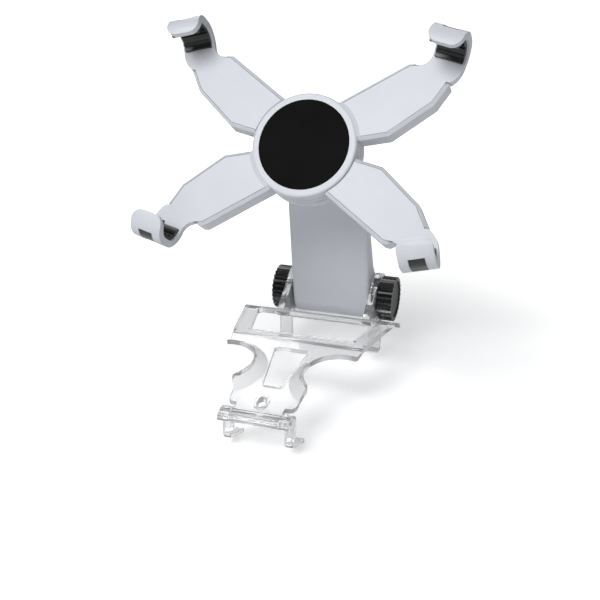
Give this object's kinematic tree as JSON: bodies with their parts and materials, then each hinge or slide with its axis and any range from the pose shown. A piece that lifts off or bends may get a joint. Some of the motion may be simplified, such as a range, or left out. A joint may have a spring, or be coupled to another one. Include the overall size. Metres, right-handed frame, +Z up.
{
  "type": "controller phone clip",
  "caption": "Clear clip-on cradle for a game pad with a hinged arm and a tilting X-shaped holder whose padded hooks grip a phone by its long edges.",
  "frame": {"origin": "centre of the touch pad window, on the cradle's underside where it lies on the game pad", "axes": "+X across the game pad to the player's right, +Y away from the player, +Z up out of the window"},
  "size_m": [0.1444, 0.1469, 0.1839],
  "materials": {
    "clear_plastic": "clear, glossy",
    "silver_plastic": "satin silver",
    "black_plastic": "satin",
    "grey_plastic": "satin",
    "black_rubber": "matte",
    "slip_plastic": "smooth",
    "steel": "plated",
    "brass": "machined"
  },
  "bodies": {
    "cradle": {"cradle": "clear_plastic", "hinge_bolt": "steel", "friction_washer_left": "black_rubber", "friction_washer_right": "black_rubber"},
    "latch": {"front_latch": "clear_plastic", "latch_pin": "steel"},
    "knob_left": {"knob_left": "black_plastic", "knob_cap_left": "grey_plastic", "knob_insert_left": "brass"},
    "knob_right": {"knob_right": "black_plastic", "knob_cap_right": "grey_plastic", "knob_insert_right": "brass"},
    "arm": {"arm_front_shell": "silver_plastic", "arm_back_cover": "silver_plastic", "arm_screws": "steel"},
    "bracket": {"tilt_bracket": "silver_plastic", "tilt_screw": "steel", "tilt_nut": "steel", "pivot_screw": "steel", "wave_washer": "steel"},
    "hub": {"rear_housing": "silver_plastic", "slip_washer_back": "slip_plastic"},
    "front_bar": {"front_bar": "silver_plastic", "front_bar_shell_left": "silver_plastic", "front_bar_shell_right": "silver_plastic", "front_bar_screws": "steel", "hook_rubber_upper_right": "black_rubber", "hook_rubber_lower_left": "black_rubber", "centre_pad": "black_rubber", "slip_washer_front": "slip_plastic"},
    "rear_bar": {"rear_bar": "silver_plastic", "rear_bar_claw_left": "silver_plastic", "rear_bar_claw_right": "silver_plastic", "rear_bar_screws": "steel", "hook_rubber_upper_left": "black_rubber", "hook_rubber_lower_right": "black_rubber", "slip_washer_rear": "slip_plastic"}
  },
  "joints": [
    {"name": "latch_hinge", "type": "hinge", "parent": "cradle", "child": "latch", "pos_m": [0, -0.077, -0.0114], "axis": [-1, 0, 0], "range_deg": [0, 70]},
    {"name": "knob_left_turn", "type": "hinge", "parent": "cradle", "child": "knob_left", "pos_m": [-0.03, 0.0505, 0.002], "axis": [-1, 0, 0], "continuous": true},
    {"name": "knob_right_turn", "type": "hinge", "parent": "cradle", "child": "knob_right", "pos_m": [0.03, 0.0505, 0.002], "axis": [1, 0, 0], "continuous": true},
    {"name": "arm_hinge", "type": "hinge", "parent": "cradle", "child": "arm", "pos_m": [0, 0.0505, 0.002], "axis": [-1, 0, 0], "range_deg": [-5, 75]},
    {"name": "holder_tilt", "type": "hinge", "parent": "arm", "child": "bracket", "pos_m": [0, 0.0199, 0.0809], "axis": [-1, 0, 0], "range_deg": [-10, 55]},
    {"name": "holder_turn", "type": "hinge", "parent": "bracket", "child": "hub", "pos_m": [0, -0.0085, 0.0977], "axis": [0, -0.8607, 0.509], "continuous": true},
    {"name": "front_bar_turn", "type": "hinge", "parent": "hub", "child": "front_bar", "pos_m": [0, -0.0085, 0.0977], "axis": [0, -0.8607, 0.509], "range_deg": [-5, 25]},
    {"name": "rear_bar_turn", "type": "hinge", "parent": "hub", "child": "rear_bar", "pos_m": [0, -0.0085, 0.0977], "axis": [0, 0.8607, -0.509], "range_deg": [-5, 25]}
  ]
}
